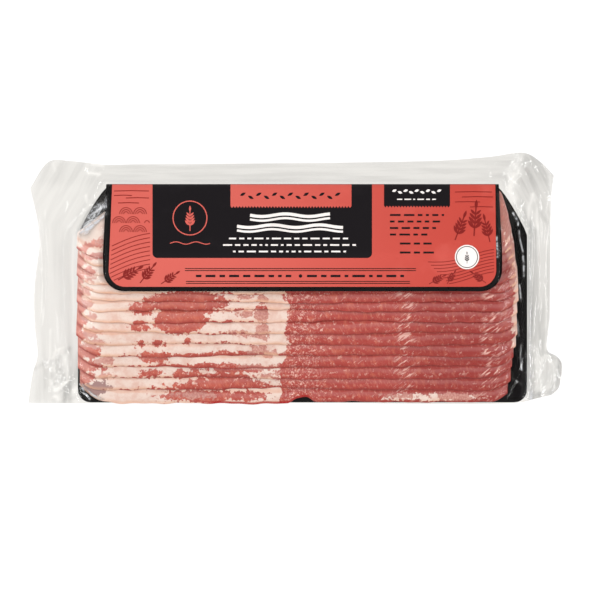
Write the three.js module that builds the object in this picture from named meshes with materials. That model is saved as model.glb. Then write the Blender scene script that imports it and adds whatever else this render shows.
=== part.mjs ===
// A flat retail pack of sliced bacon, lying on its back with the printed side up.
// Fifteen rashers are shingled on a black backing card. The card's top edge folds over
// them as a label flap, and a clear vacuum pouch with a loose seal flange holds it all.
// Millimetres, +X along the rashers, +Y towards the card's fold, +Z up.
import * as THREE from 'three';
import { mergeVertices } from 'three/addons/utils/BufferGeometryUtils.js';

// Rashers: each lies on the one before it, shifted towards the fold.
const RASHERS = 15;
const RASHER_WIDTH = 38;
const RASHER_THICK = 2.35;
const LAYER = 2.65;           // a rasher and the gap above it
const RASHER_BASE = 1.75;     // underside of the lowest rasher
const FIRST_EDGE = -58.4;     // front edge of the lowest rasher
const OPEN_PITCH = 6.1;       // step from edge to edge where the rashers show
const CLOSE_PITCH = 4.7;      // step near and under the label flap
const OPEN_STEPS = 8;
const BACK = RASHER_WIDTH + 1;  // from a rasher's front edge to where those on it bend
const LEFT_END = -121.2;
const RIGHT_END = 117.6;
const END_LEAN = 0.12;        // how much further in each end lies, per mm of height
const EDGE_WAVE = 0.7;        // height of the waves in a rasher's long edges
const BACK_RIGHT = 115.6;     // X from which the stack's back edge is drawn in on the right
const ROW_GAP = 0.2;          // least distance between two rows of a rasher's vertices

// Backing card: one sheet, from the flap's free edge over the fold to the front edge.
const CARD_THICK = 0.6;
const CARD_Z = 1.1;           // middle of the back panel
const CARD_FRONT = -59.5;
const CARD_FOLD = 59.1;
const CARD_HALF = 122.2;      // half length of the back panel
const FOLD_HALF = 106.4;      // half length of the fold
const FLAP_HALF = 105.8;
const FLAP_EDGE = 0.8;        // Y of the flap's free edge
const FLAP_CORNER = 11;
const CHAMFER_DEPTH = 25;     // the back panel's cut top corners, along Y
const FRONT_CORNER = 7;

// Pouch: a base film, a skirt up the contents' sides, and the flange round it.
const FILM_THICK = 0.5;
const SKIRT_GAP = 0.4;        // clear of the card's edge
const SKIRT_TOP = 0.6;        // width of the skirt's upper rim
const SKIRT_FOOT = 3.6;       // how far out the skirt meets the flange

const clamp = THREE.MathUtils.clamp;
const lerp = THREE.MathUtils.lerp;
const smooth = THREE.MathUtils.smoothstep;

// Front edge of rasher k, in Y.
function frontEdge(k) {
  return FIRST_EDGE + OPEN_PITCH * Math.min(k, OPEN_STEPS)
    + CLOSE_PITCH * Math.max(0, k - OPEN_STEPS);
}

// How much of a layer rasher j puts under the ones on top of it: 1 as far as its back
// edge, then falling to 0 over one pitch, so that the stack slopes down to the card.
function cover(j, y) {
  const pitch = j < OPEN_STEPS ? OPEN_PITCH : CLOSE_PITCH;
  return clamp(1 - (y - frontEdge(j) - BACK) / pitch, 0, 1);
}

// Height of rasher k's underside.
function undersideZ(k, y) {
  let layers = 0;
  for (let j = 0; j < k; j++) layers += cover(j, y);
  return RASHER_BASE + LAYER * layers;
}

// Height of the whole stack's upper surface, with its steps smoothed out: it climbs from
// the front, where the rashers are staggered, and falls away again behind them.
function stackZ(y) {
  const climb = (y - FIRST_EDGE) * LAYER / OPEN_PITCH;
  const fall = (CARD_FOLD - y) * LAYER / CLOSE_PITCH;
  const most = RASHER_WIDTH * LAYER / OPEN_PITCH + (y - FIRST_EDGE - BACK) * 0.08;
  return RASHER_BASE + RASHER_THICK + Math.max(0, Math.min(climb, fall, most));
}

// A rasher's long edges wander a little, each in its own way.
function edgeWave(k, x) {
  return EDGE_WAVE * (0.65 * Math.sin(x / 31 + 1.9 * k) + 0.35 * Math.sin(x / 12 + 2.6 * k));
}

// How far an edge draws in at a distance from the rasher's end.
function taper(distance, reach, depth, power) {
  return depth * (1 - clamp(distance / reach, 0, 1)) ** power;
}

// The stack's back edge, in Y. It is drawn in at both ends to clear the card's cut corners,
// for all rashers alike, so that each lies on the one below it out to its edge.
function stackBack(x) {
  return frontEdge(RASHERS - 1) + RASHER_WIDTH
    - taper(x - LEFT_END, 34, 24, 1.3) - taper(BACK_RIGHT - x, 9, 44, 1.5);
}

// A box of nu by nv cells, one cell thick, with every vertex moved by place(u, v, w),
// where u and v run from 0 to 1 over the sheet and w from its underside to its top.
function warpedSheet(nu, nv, place) {
  const box = new THREE.BoxGeometry(1, 1, 1, nu, nv, 1);
  box.deleteAttribute('normal');
  box.deleteAttribute('uv');
  const sheet = mergeVertices(box);
  const spots = sheet.attributes.position;
  for (let i = 0; i < spots.count; i++) {
    const p = place(spots.getX(i) + 0.5, spots.getY(i) + 0.5, spots.getZ(i) + 0.5);
    spots.setXYZ(i, p.x, p.y, p.z);
  }
  sheet.computeVertexNormals();
  return sheet;
}

// Rasher k: a long strip with a blunt, rounded outline that drapes over those below it.
function rasherGeometry(k) {
  const across = (frontEdge(k) + 6) / 55;
  const lean = END_LEAN * undersideZ(k, frontEdge(k));
  const left = LEFT_END + lean + 0.6 * Math.sin(2.1 * k);
  const right = RIGHT_END - lean - 6.5 * across * across + 0.8 * Math.sin(1.7 * k);
  // The stack's slope changes only along these lines. All rashers have their rows of
  // vertices on them, so that they lie on one another without touching.
  const bends = [];
  for (let i = -8; i < RASHERS; i++) {
    const bend = frontEdge(i) + BACK;
    if (bend > frontEdge(k) + 2 && bend < frontEdge(k) + RASHER_WIDTH - 2) bends.push(bend);
  }
  const rows = bends.length + 1;
  return warpedSheet(14, rows, (u, v, w) => {
    // the stations stand closer together towards the two ends
    const x = lerp(left, right, u - 0.125 * Math.sin(2 * Math.PI * u));
    const low = frontEdge(k) + edgeWave(k, x)
      + taper(x - left, 12, 5.5, 2) + taper(right - x, 12, 5.5, 2);
    const back = frontEdge(k) + RASHER_WIDTH + edgeWave(k + 0.4, x)
      - taper(x - left, 10, 5, 2) - taper(right - x, 6, 6, 1.5);
    const high = Math.min(back, stackBack(x));
    const row = Math.round(v * rows);
    const bend = row === 0 ? low : row === rows ? high : bends[row - 1];
    const y = clamp(bend, low + ROW_GAP * row, high - ROW_GAP * (rows - row));
    return new THREE.Vector3(x, y, undersideZ(k, y) + RASHER_THICK * w);
  });
}

// The card seen from its end: up the flap from its free edge, round the fold, and back
// along the panel under the rashers.
function cardPath() {
  const flap = new THREE.CatmullRomCurve3([
    [FLAP_EDGE, 23.1], [8, 24.6], [16, 25.7], [20.2, 25.7], [25.5, 23.5], [35, 18.4],
    [46, 12.3], [55.5, 7.2], [58.2, 5.6], [CARD_FOLD, 4.0], [58.9, 2.2], [57.4, CARD_Z],
  ].map(([y, z]) => new THREE.Vector3(0, y, z)), false, 'centripetal');
  const path = new THREE.CurvePath();
  path.add(flap);
  path.add(new THREE.LineCurve3(
    new THREE.Vector3(0, 57.4, CARD_Z), new THREE.Vector3(0, CARD_FRONT, CARD_Z)));
  return path;
}

// Where the card's two side edges are, at a point of that path.
function cardHalves(y, onFlap) {
  if (onFlap) {
    const inset = FLAP_CORNER - Math.min(y - FLAP_EDGE, FLAP_CORNER);
    const corner = FLAP_CORNER - Math.sqrt(FLAP_CORNER ** 2 - inset ** 2);
    return lerp(FLAP_HALF, FOLD_HALF, smooth(y, FLAP_EDGE, CARD_FOLD)) - corner;
  }
  const chamfer = clamp((57.4 - y) / CHAMFER_DEPTH, 0, 1) ** 0.8;
  const inset = clamp(FRONT_CORNER - (y - CARD_FRONT), 0, FRONT_CORNER);
  const corner = FRONT_CORNER - Math.sqrt(FRONT_CORNER ** 2 - inset ** 2);
  return lerp(FOLD_HALF, CARD_HALF, chamfer) - corner;
}

function cardGeometry() {
  const path = cardPath();
  const flapLength = path.curves[0].getLength();
  const panelLength = path.curves[1].getLength();
  // rows of the sheet, as lengths along the path, closer together at curves and corners
  const rows = [0, 0.5, 1.6, 3.4, 6, 11, 16, 21, 25, 29, 36, 44, 52, 58.5, 60, 61.2, 62.3, 63.4]
    .map((at) => at * flapLength / 64.5);
  for (const at of [0, 2, 5, 9, 13, 18, 25, 60, 100]) rows.push(flapLength + at);
  for (const at of [FRONT_CORNER, 4, 2, 0.8, 0]) rows.push(flapLength + panelLength - at);
  const tangent = new THREE.Vector3();
  return warpedSheet(4, rows.length - 1, (u, v, w) => {
    const at = rows[Math.round(v * (rows.length - 1))];
    const onFlap = at < flapLength;
    const curve = path.curves[onFlap ? 0 : 1];
    const share = onFlap ? at / flapLength : (at - flapLength) / panelLength;
    const middle = curve.getPointAt(share);
    curve.getTangentAt(share, tangent);
    const half = cardHalves(middle.y, onFlap && middle.z > 2 * CARD_Z);
    // w runs outwards from the rashers' side of the card to its printed side
    const out = CARD_THICK * (w - 0.5);
    return new THREE.Vector3(
      lerp(-half, half, u), middle.y - tangent.z * out, middle.z + tangent.y * out);
  });
}

// A closed run of eight sides, anticlockwise: the front, the front right corner, the right
// and so on round to the front left corner. Each is a smooth curve through its points.
function outline(sides) {
  return sides.map((points, i) => {
    const next = sides[(i + 1) % sides.length][0];
    const run = [...points, next].map(([x, y]) => new THREE.Vector3(x, y, 0));
    return new THREE.CatmullRomCurve3(run, false, 'centripetal');
  });
}
const SIDE_CELLS = [12, 4, 12, 6, 18, 6, 12, 4];

// The card's edge, which the pouch is drawn tight round.
const contentsOutline = outline([
  [[-115.2, -59.6]],
  [[115.2, -59.6], [120.3, -57.6]],
  [[122.3, -52.5]],
  [[122.3, 33], [118.6, 43], [113.2, 52.5]],
  [[108, 59.8]],
  [[-108, 59.8], [-113.2, 52.5], [-118.6, 43]],
  [[-122.3, 33]],
  [[-122.3, -52.5], [-120.3, -57.6]],
]);

// The flange's free edge, with its cut corners and the tab that curls out at the front right.
const flangeOutline = outline([
  [[-118, -60.8]],
  [[118, -60.8], [126, -58.5], [135.4, -55.6]],
  [[139.6, -48], [140.5, -38.2], [134.2, -31.5], [134.7, -10], [135.1, 20]],
  [[135.4, 44], [136.3, 64], [129, 71]],
  [[120.7, 75.8], [102.7, 74.3], [77, 72.4], [-11.7, 70.9], [-91.3, 70.1]],
  [[-115.3, 70.9], [-137.4, 71.7], [-148.3, 57.2]],
  [[-143.3, 29.8], [-146.2, 4.4], [-146.2, -14.7], [-144.3, -34.9]],
  [[-147, -47], [-149, -59.7], [-134, -60.6]],
]);

// Height of the flange's underside: slack waves all round, with a lifted corner at the
// back right and the curled tab at the front right.
function flangeZ(x, y, outwards) {
  const waves = 1.1 + 0.6 * Math.sin(x / 11 + 0.7) * Math.cos(y / 17) + 0.5 * Math.sin(y / 9 - 1);
  const backRight = 6.5 * smooth(x, 96, 132) * smooth(y, 46, 72);
  const frontRight = 5.5 * smooth(x, 126, 140) * smooth(-y, 26, 44);
  const frontLeft = 3.2 * smooth(-x, 124, 146) * smooth(-y, 30, 50);
  const backLeft = 2.5 * smooth(-x, 120, 146) * smooth(y, 44, 66);
  return (waves + backRight + frontRight + frontLeft + backLeft) * outwards;
}

// Height of the skirt's rim: most of the stack on the left, where the rashers reach the
// card's edge, and much less on the right, where a strip of the card is bare.
function rimZ(x, y) {
  const share = lerp(0.78, 0.3, smooth(x, -100, 110));
  return lerp(2, stackZ(y), share);
}

// The pouch: a lathed ring profile whose turns are then laid along the two outlines.
function pouchGeometry() {
  // each profile station: share of the way from skirt foot to flange edge, or an offset
  const stations = [
    { centre: true, z: 0 },
    { offset: SKIRT_FOOT, z: () => 0 },
    { out: 0.5, under: true },
    { out: 1, under: true },
    { out: 1 },
    { out: 0.5 },
    { offset: SKIRT_FOOT, z: () => FILM_THICK + 0.3 },
    { offset: SKIRT_GAP + SKIRT_TOP, z: rimZ },
    { offset: SKIRT_GAP, z: rimZ },
    { offset: SKIRT_GAP, z: () => FILM_THICK },
    { centre: true, z: FILM_THICK },
  ];
  const turns = SIDE_CELLS.reduce((sum, n) => sum + n, 0);
  const profile = stations.map((s, j) => new THREE.Vector2(s.centre ? 0 : 1, j));
  const ring = new THREE.LatheGeometry(profile, turns);
  const spots = ring.attributes.position;
  for (let i = 0; i <= turns; i++) {
    let side = 0;
    let cell = i % turns;
    while (cell >= SIDE_CELLS[side]) cell -= SIDE_CELLS[side++];
    const share = cell / SIDE_CELLS[side];
    const inner = contentsOutline[side].getPointAt(share);
    const before = contentsOutline[share > 0 ? side : (side + 7) % 8]
      .getTangentAt(share > 0 ? share : 1);
    const along = before.add(contentsOutline[side].getTangentAt(share)).normalize();
    const outer = flangeOutline[side].getPointAt(share);
    stations.forEach((station, j) => {
      const p = new THREE.Vector3(0, 0, station.z);
      if (!station.centre) {
        // the front flange is folded away, so the skirt's foot stops at the flange's edge
        const room = (outer.x - inner.x) * along.y - (outer.y - inner.y) * along.x;
        const offset = Math.min(station.offset ?? SKIRT_FOOT, room - 0.25);
        p.set(inner.x + along.y * offset, inner.y - along.x * offset, 0);
        if (station.out) {
          p.lerp(new THREE.Vector3(outer.x, outer.y, 0), station.out);
          const wide = smooth(room, 2, 12);
          p.z = flangeZ(p.x, p.y, station.out * wide) + (station.under ? 0 : FILM_THICK);
        } else {
          p.z = station.z(inner.x, inner.y);
        }
      }
      spots.setXYZ(i * stations.length + j, p.x, p.y, p.z);
    });
  }
  ring.computeVertexNormals();
  return ring;
}

const pack = new THREE.Group();

function addPiece(name, geometry, colour, roughness, extra = {}) {
  const material = new THREE.MeshStandardMaterial({ color: colour, roughness, ...extra });
  const mesh = new THREE.Mesh(geometry, material);
  mesh.name = name;
  pack.add(mesh);
}

addPiece('pouch', pouchGeometry(), 0xe9e8e4, 0.15, { transparent: true, opacity: 0.35 });
addPiece('label_card', cardGeometry(), 0xd9564a, 0.45);
for (let k = 0; k < RASHERS; k++) {
  const name = `rasher_${String(k + 1).padStart(2, '0')}`;
  addPiece(name, rasherGeometry(k), k % 2 ? 0xd98377 : 0xcf7468, 0.4);
}

// The origin is the middle of the pack's footprint, on the surface it lies on.
const reach = new THREE.Box3().setFromObject(pack);
pack.position.set(-(reach.min.x + reach.max.x) / 2, -(reach.min.y + reach.max.y) / 2, -reach.min.z);

export default pack;
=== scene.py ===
# %% [markdown]
# # A vacuum pack of sliced bacon
#
# The real thing is a flat retail pack: rashers shingled on a black card, the card's top
# edge folded over them as a label, and clear film drawn tight over it all with a loose
# sealed flange round the edge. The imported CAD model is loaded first, because every piece
# made here lies where its solids lie.

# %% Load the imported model
import math

import bmesh
import bpy
import numpy as np
from mathutils import Matrix, Vector
from mathutils.bvhtree import BVHTree


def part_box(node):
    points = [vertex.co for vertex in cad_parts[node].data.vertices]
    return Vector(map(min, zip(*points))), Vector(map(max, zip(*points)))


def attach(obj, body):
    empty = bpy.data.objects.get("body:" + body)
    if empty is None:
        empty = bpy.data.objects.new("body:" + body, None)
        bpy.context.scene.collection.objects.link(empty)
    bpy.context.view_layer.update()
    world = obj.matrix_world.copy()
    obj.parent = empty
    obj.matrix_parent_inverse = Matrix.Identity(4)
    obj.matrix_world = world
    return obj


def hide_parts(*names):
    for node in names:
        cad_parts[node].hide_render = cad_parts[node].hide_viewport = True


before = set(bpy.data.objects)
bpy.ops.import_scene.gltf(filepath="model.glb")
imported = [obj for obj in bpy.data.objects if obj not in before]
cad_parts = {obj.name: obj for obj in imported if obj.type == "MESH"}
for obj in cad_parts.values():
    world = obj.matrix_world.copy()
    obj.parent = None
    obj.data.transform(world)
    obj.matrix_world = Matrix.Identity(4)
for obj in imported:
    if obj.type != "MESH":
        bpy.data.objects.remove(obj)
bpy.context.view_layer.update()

# %% [markdown]
# ## Sizes
#
# All shapes below are worked out in millimetres from the middle of the black card, with Y
# towards its fold, because that is how such a pack is dimensioned. The model's own origin
# is the middle of the whole footprint, so one shift takes a finished piece there. The
# shift is read off the card's CAD solid, so it can't drift from the model.

# %% Millimetres and the shift to the model's origin
MM = 0.001
CARD_FRONT, CARD_FOLD = -59.5, 59.1
CARD_DEEP = 59.6  # half of the card's depth with its fold, as the film finds it
CARD_HALF, FOLD_HALF, FLAP_HALF = 122.2, 106.4, 105.8
card_low, card_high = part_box("label_card")
shift = Vector(((card_low.x + card_high.x) / 2, card_low.y - CARD_FRONT * MM, 0))
print("card's middle in the model, in mm:", [round(1000 * c, 2) for c in shift])


# %% [markdown]
# ## The camera
#
# The pack lies on its back, and the camera looks straight down on it from 0.95 m, which
# gives the label the slight widening towards its free edge that a camera so near gives a
# raised surface. One pixel of the 600-pixel frame is 0.545 mm at table height.

# %% Camera straight above
PIXEL = 0.545
PIXELS = 600
MIDDLE = PIXELS / 2
CARD_COLUMN, CARD_ROW = 302.5, 293  # the pixel at which the card's middle would show
CAMERA_HEIGHT = 950.0
AIM_X, AIM_Y = (MIDDLE - CARD_COLUMN) * PIXEL, (CARD_ROW - MIDDLE) * PIXEL
SENSOR = 36

camera_data = bpy.data.cameras.new("camera")
camera = bpy.data.objects.new("camera", camera_data)
bpy.context.collection.objects.link(camera)
bpy.context.scene.camera = camera
camera.location = Vector((AIM_X, AIM_Y, CAMERA_HEIGHT)) * MM + shift
camera_data.sensor_width = SENSOR
camera_data.lens = SENSOR * CAMERA_HEIGHT / (PIXELS * PIXEL)
print("lens in mm:", round(camera_data.lens, 1))


# %% [markdown]
# A raised point shows a little further from the picture's middle than its plan position.
# These helpers turn one into the other, so that a marking read off the picture lands on
# the surface that carries it. Where that surface isn't level, its height and the place on
# it depend on each other, so both are worked out in a few turns.

# %% From the picture to the pack and back
def picture_spot(x, y, z):
    """Pixel column and row at which a point of the pack shows."""
    grow = CAMERA_HEIGHT / (CAMERA_HEIGHT - z)
    return (MIDDLE + (x - AIM_X) * grow / PIXEL, MIDDLE - (y - AIM_Y) * grow / PIXEL)


def plan_spot(px, py, z):
    """Place on the pack, at height z, of what shows at a pixel."""
    shrink = (CAMERA_HEIGHT - z) / CAMERA_HEIGHT
    return (AIM_X + (px - MIDDLE) * PIXEL * shrink, AIM_Y + (MIDDLE - py) * PIXEL * shrink)


def raised_spot(px, py, z, height):
    """Place on an uneven face, from a guess of z, of what shows at a pixel."""
    for _ in range(5):
        x, y = plan_spot(px, py, z)
        z = height(x, y)
    return x, y, z


# %% [markdown]
# ## Materials by nodes
#
# Four small helpers keep the material cells readable: one turns an sRGB hex colour into
# the linear numbers that shaders want, one starts a material, one adds a node with its
# settings and its links, and one lays colours over each other, as a real surface's
# colours lie over its ground. A layer's spans say where it comes in, so a place has to be
# in all of them.

# %% Colour and node helpers
SMOOTH = {"interpolation_type": "SMOOTHSTEP"}
COLOUR = {"data_type": "RGBA"}


def linear(hex_colour):
    """The linear RGBA of an sRGB hex colour."""
    channels = [int(hex_colour[i:i + 2], 16) / 255 for i in (1, 3, 5)]
    return [c / 12.92 if c <= 0.04045 else ((c + 0.055) / 1.055) ** 2.4 for c in channels] + [1.0]


def new_material(name):
    """An empty node material and its tree."""
    material = bpy.data.materials.new(name)
    material.use_nodes = True
    material.node_tree.nodes.clear()
    return material, material.node_tree


def add(tree, kind, inputs=(), out=None, **settings):
    """Adds one node with its settings and links. Gives its first output, or the named one.

    Inputs come by name, or in the node's own order. Each is a value, a hex colour, or a
    socket to link from."""
    made = tree.nodes.new("ShaderNode" + kind)
    for key, value in settings.items():
        setattr(made, key, value)
    if isinstance(inputs, dict):
        pairs = [(made.inputs[key], value) for key, value in inputs.items()]
    else:
        pairs = zip([socket for socket in made.inputs if socket.enabled], inputs)
    for socket, value in pairs:
        if isinstance(value, bpy.types.NodeSocket):
            tree.links.new(value, socket)
        else:
            socket.default_value = linear(value) if isinstance(value, str) else value
    return next((s for s in made.outputs if s.enabled and out in (None, s.name)), None)


def layered(tree, colour, *layers):
    """Lays colours over a colour. A layer is a colour, its greatest share, and spans: a
    value, where the layer starts and where it is full."""
    for over, share, *spans in layers:
        for value, start, full in spans:
            share = add(tree, "MapRange", (value, start, full, 0.0, share), **SMOOTH)
        colour = add(tree, "Mix", (share, colour, over), **COLOUR)
    return colour


# %% [markdown]
# ## How the rashers lie
#
# Fifteen rashers are shingled: each lies on the one before, shifted towards the fold, and
# slopes down behind it to the card. The same rule as in the CAD model gives the height of
# each one, so the detailed rashers fill the places of the plain solids.

# %% The stack's rule
RASHERS = 15
RASHER_WIDTH, RASHER_THICK, LAYER, RASHER_BASE = 38.0, 2.6, 2.65, 1.7
FIRST_EDGE, OPEN_PITCH, CLOSE_PITCH, OPEN_STEPS = -58.4, 6.1, 4.7, 8
BACK = RASHER_WIDTH + 1
LEFT_END, RIGHT_END, END_LEAN = -121.2, 117.6, 0.12
BACK_RIGHT = 115.6  # X from which the stack's back edge is drawn in on the right


def front_edge(k):
    """Y of rasher k's front edge."""
    return FIRST_EDGE + OPEN_PITCH * min(k, OPEN_STEPS) + CLOSE_PITCH * max(0, k - OPEN_STEPS)


def underside(k, y):
    """Height of rasher k's underside, for an array of Y."""
    layers = np.zeros_like(y)
    for j in range(k):
        pitch = OPEN_PITCH if j < OPEN_STEPS else CLOSE_PITCH
        layers += np.clip(1 - (y - front_edge(j) - BACK) / pitch, 0, 1)
    return RASHER_BASE + LAYER * layers


def edge_wave(k, x):
    """How a rasher's long edge wanders."""
    return 0.85 * (0.65 * np.sin(x / 31 + 1.9 * k) + 0.35 * np.sin(x / 12 + 2.6 * k))


def draw_in(distance, reach, depth, power):
    """How far an edge draws in near a rasher's end."""
    return depth * (1 - np.clip(distance / reach, 0, 1)) ** power


def rasher_ends(k):
    """X of rasher k's two ends."""
    lean = END_LEAN * float(underside(k, np.array([front_edge(k)]))[0])
    across = (front_edge(k) + 6) / 55
    left = LEFT_END + lean + 0.6 * math.sin(2.1 * k) - 1.4 * min(k / 5, 1)
    # the right ends lie on an arc, and the upper ones fall short of it
    right = RIGHT_END - lean - 6.5 * across ** 2 + 0.35 * math.sin(1.7 * k)
    return left, right - 2.4 * max(k - 9, 0) / 5


def stack_back(x):
    """Y of the stack's back edge, drawn in at both ends to clear the card's cut corners.

    All rashers share it, so that each lies on the one below it out to its edge."""
    top = RASHERS - 1
    return (front_edge(top) + RASHER_WIDTH + edge_wave(top + 0.4, x)
            - draw_in(x - rasher_ends(top)[0], 34, 24, 1.3) - draw_in(BACK_RIGHT - x, 9, 44, 1.5))


print("front edges in mm:", [round(front_edge(k), 1) for k in range(RASHERS)])


# %% [markdown]
# ## Finishing a piece
#
# A bmesh holds a shape while it is built. This helper turns it into an object: it scales
# it to metres, moves it to the model's origin in its mesh, gives it its material and
# says which body it rides on.

# %% From bmesh to a finished piece
def finish_piece(bm, name, material, smooth=True):
    """Makes a bmesh in millimetres an object of the model, with a material."""
    bmesh.ops.transform(bm, matrix=Matrix.Diagonal((MM, MM, MM, 1)), verts=bm.verts)
    bmesh.ops.translate(bm, vec=shift, verts=bm.verts)
    mesh = bpy.data.meshes.new(name)
    bm.to_mesh(mesh)
    bm.free()
    for face in mesh.polygons:
        face.use_smooth = smooth
    piece = bpy.data.objects.new(name, mesh)
    bpy.context.collection.objects.link(piece)
    piece.data.materials.append(material)
    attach(piece, "root")
    return piece


def thicken_down(bm, place_under):
    """Gives an upper sheet an underside, each point of it moved by place_under."""
    upper = list(bm.faces)
    result = bmesh.ops.extrude_face_region(bm, geom=upper, use_keep_orig=True)
    copies = [g for g in result["geom"] if isinstance(g, bmesh.types.BMVert)]
    for vert in copies:
        vert.co = place_under(vert.co)
    bmesh.ops.recalc_face_normals(bm, faces=bm.faces)


# %% [markdown]
# ## The grain of a rasher
#
# A rasher is a slice across a pork belly, so its pattern is the belly's: bands and islands
# of lean in creamy fat at one end, and one broad muscle, flecked with fat, at the other.
# The same muscles run through neighbouring rashers, which is why the islands carry on from
# one exposed strip to the next. Each island is laid out as a simple rounded shape whose
# leanness falls off smoothly through its edge, in millimetres. The shader adds the ragged
# fine edge, so the mesh doesn't need to carry it.

# %% Islands of lean and fat, by where they show
LEAN_ISLANDS = [  # middle column and row, half width and half height, in pixels
    (187, 303, 38, 13), (180, 320, 27, 14), (141, 308, 13, 7), (139, 326, 10, 5),
    (141, 345, 5, 3), (155, 357, 17, 5), (152, 374, 12, 4), (180, 373, 8, 4),
    (187, 341, 4, 3.4), (158, 343, 8, 3), (203, 396, 44, 6), (243, 396, 24, 5), (195, 386, 26, 3),
    (228, 381, 40, 6), (232, 370, 34, 3), (150, 299, 10, 3), (278, 298, 7, 4),
    (90, 352, 12, 6), (95, 366, 13, 5), (86, 378, 9, 6), (263, 310, 7, 5), (215, 365, 20, 2),
    (84, 248, 6, 3.4), (98, 242, 9, 3.6), (93, 257, 12, 3.4), (88, 271, 8, 5),
]
FAT_ISLANDS = [
    (276, 305, 9, 20), (275, 335, 9, 20), (272, 356, 7, 9), (428, 397.5, 34, 2.8),
    (263, 379, 10, 3),
]
MAUVE_ISLANDS = [
    (262, 299, 6, 6), (262, 316, 7, 8), (263, 332, 7, 9), (258, 349, 9, 4),
    (246, 297, 10, 3), (247, 314, 11, 3), (262, 353, 15, 4), (257, 367, 18, 3), (268, 376, 12, 3),
    (236, 333, 7, 2), (248, 334, 9, 3), (228, 312, 5, 2), (86, 291, 6, 4), (87, 303, 6, 4),
    (90, 317, 8, 4), (91, 332, 10, 5), (94, 343, 12, 5), (105, 361, 9, 5), (104, 376, 8, 3),
    (96, 388, 15, 6), (196, 395, 20, 4), (458, 397, 24, 3.5), (403, 396, 14, 2.5),
    (505, 200, 4, 14), (507, 224, 5, 16), (511, 250, 4, 14), (513, 276, 4, 12), (100, 241, 6, 3),
    (99, 256, 6, 3), (92, 280, 6, 3),
]


def deepest(islands, px, py):
    """How far inside the nearest island each spot is, in millimetres."""
    depth = np.full_like(px, -1e3)
    for column, row, wide, high in islands:
        reach = np.hypot((px - column) / wide, (py - row) / high)
        depth = np.maximum(depth, (1 - reach) * min(wide, high))
    return depth * PIXEL


NO_LEAN = -9


def leanness(px, py, k, t):
    """Positive in lean and negative in fat, in millimetres from the boundary."""
    lean = deepest(LEAN_ISLANDS, px, py)
    # the broad muscle starts at a ragged border, further left in the lower rashers
    border = 287 - 7 * np.clip((py - 345) / 25, 0, 1) + 2.0 * np.sin(py / 4.1 + k)
    lean = np.maximum(lean, (px - border) * PIXEL)
    # a thin strip of lean runs along the front edge of the lower rashers
    strip = (2.6 if k in (1, 2, 3, 4) else 0.6) - t - np.abs(px - 225) / 40
    lean = np.maximum(lean, np.where(px < 300, strip, NO_LEAN))
    # the outer end of each rasher is a narrow muscle, and its inner end has a rim of fat
    outer = np.interp(py, [238, 250, 262, 290, 305, 345, 372, 382],
                      [70, 79, 83, 82, 85, 84, 89, 82])
    lean = np.maximum(lean, (outer + 2 * np.sin(py / 2.3) - px) * PIXEL)
    if k > 3:
        inner_end = picture_spot(rasher_ends(k)[1], 0, 0)[0]
        lean = np.minimum(lean, (inner_end - 0.2 - px) * PIXEL)
    return np.minimum(lean, -deepest(FAT_ISLANDS, px, py))


# %% [markdown]
# ## Rashers
#
# Each rasher is a grid of vertices laid over the stack's rule, finest towards the front
# edge, where it shows. A raw rasher is soft, so its front edge is rounded and a little
# ragged and its face swells and dips by a few tenths of a millimetre. The grid is then
# thickened downwards. Four attributes ride on the vertices for the shader: where a spot is
# along the rasher and from its front edge, with the rasher's number, and how lean, mauve
# and flecked it is.

# %% Build one rasher
ROWS = [0, 0.25, 0.6, 1.1, 1.8, 2.7, 3.7, 4.8, 6, 7.4, 9.5, 13, 18, 24, 30, 35, 38]
ACROSS = 240
FLECKS = ([280, 292, 330, 350, 385, 470, 515], [0.0, 0.9, 0.8, 0.45, 0.4, 0.4, 0.6])  # by column
FRONT_CORNER_CUT = (12, 5.5, 2)  # reach and depth in mm, and power, of a rounded front corner


def rasher_edges(k, x):
    """Y of a rasher's front and back edges."""
    left, right = rasher_ends(k)
    ragged = 0.22 * np.sin(x / 3.7 + 5 * k) + 0.16 * np.sin(x / 1.9 + 3 * k)
    front = (front_edge(k) + edge_wave(k, x) + ragged
             + draw_in(x - left, *FRONT_CORNER_CUT) + draw_in(right - x, *FRONT_CORNER_CUT))
    if k == 0:
        # the lowest rasher is pressed out to the card's edge, but for one notch
        front += -1.3 + 3.0 * np.exp(-((x + 0.5) / 5.5) ** 4) + draw_in(x - left, 22, 4, 2)
    back = (front_edge(k) + RASHER_WIDTH + edge_wave(k + 0.4, x)
            - draw_in(x - left, 10, 5, 2) - draw_in(right - x, 6, 6, 1.5))
    return front, np.minimum(back, stack_back(x) - 0.04 * (RASHERS - 1 - k))


def rasher_face(k, x, y, t, rim):
    """Height of a rasher's face, t mm from its front edge and rim mm from its other edges."""
    # the film presses the exposed strip into a wedge, and rounds the other sides
    pressed = 1 + 0.22 * np.sin(x / 17 + 2.7 * k) + 0.12 * np.sin(x / 6.3 + 4.1 * k)
    fall = np.maximum(1.6 * (1 - np.clip(rim / 2.0, 0, 1)) ** 1.7,
                      0.55 * (1 - np.clip(t / 0.9, 0, 1)) ** 2
                      + 1.4 * pressed * (1 - np.clip(t / 5.4, 0, 1)) ** 1.1)
    swell = (0.22 * np.sin(x / 9 + y / 7 + 2 * k) + 0.15 * np.sin(x / 4.3 - y / 5 + k)
             + 0.1 * np.sin(x / 2.3 + y / 1.7)) * np.clip(np.minimum(rim, t) / 2, 0, 1)
    return underside(k, y) + RASHER_THICK - fall + np.minimum(swell, 0.05)


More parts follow.
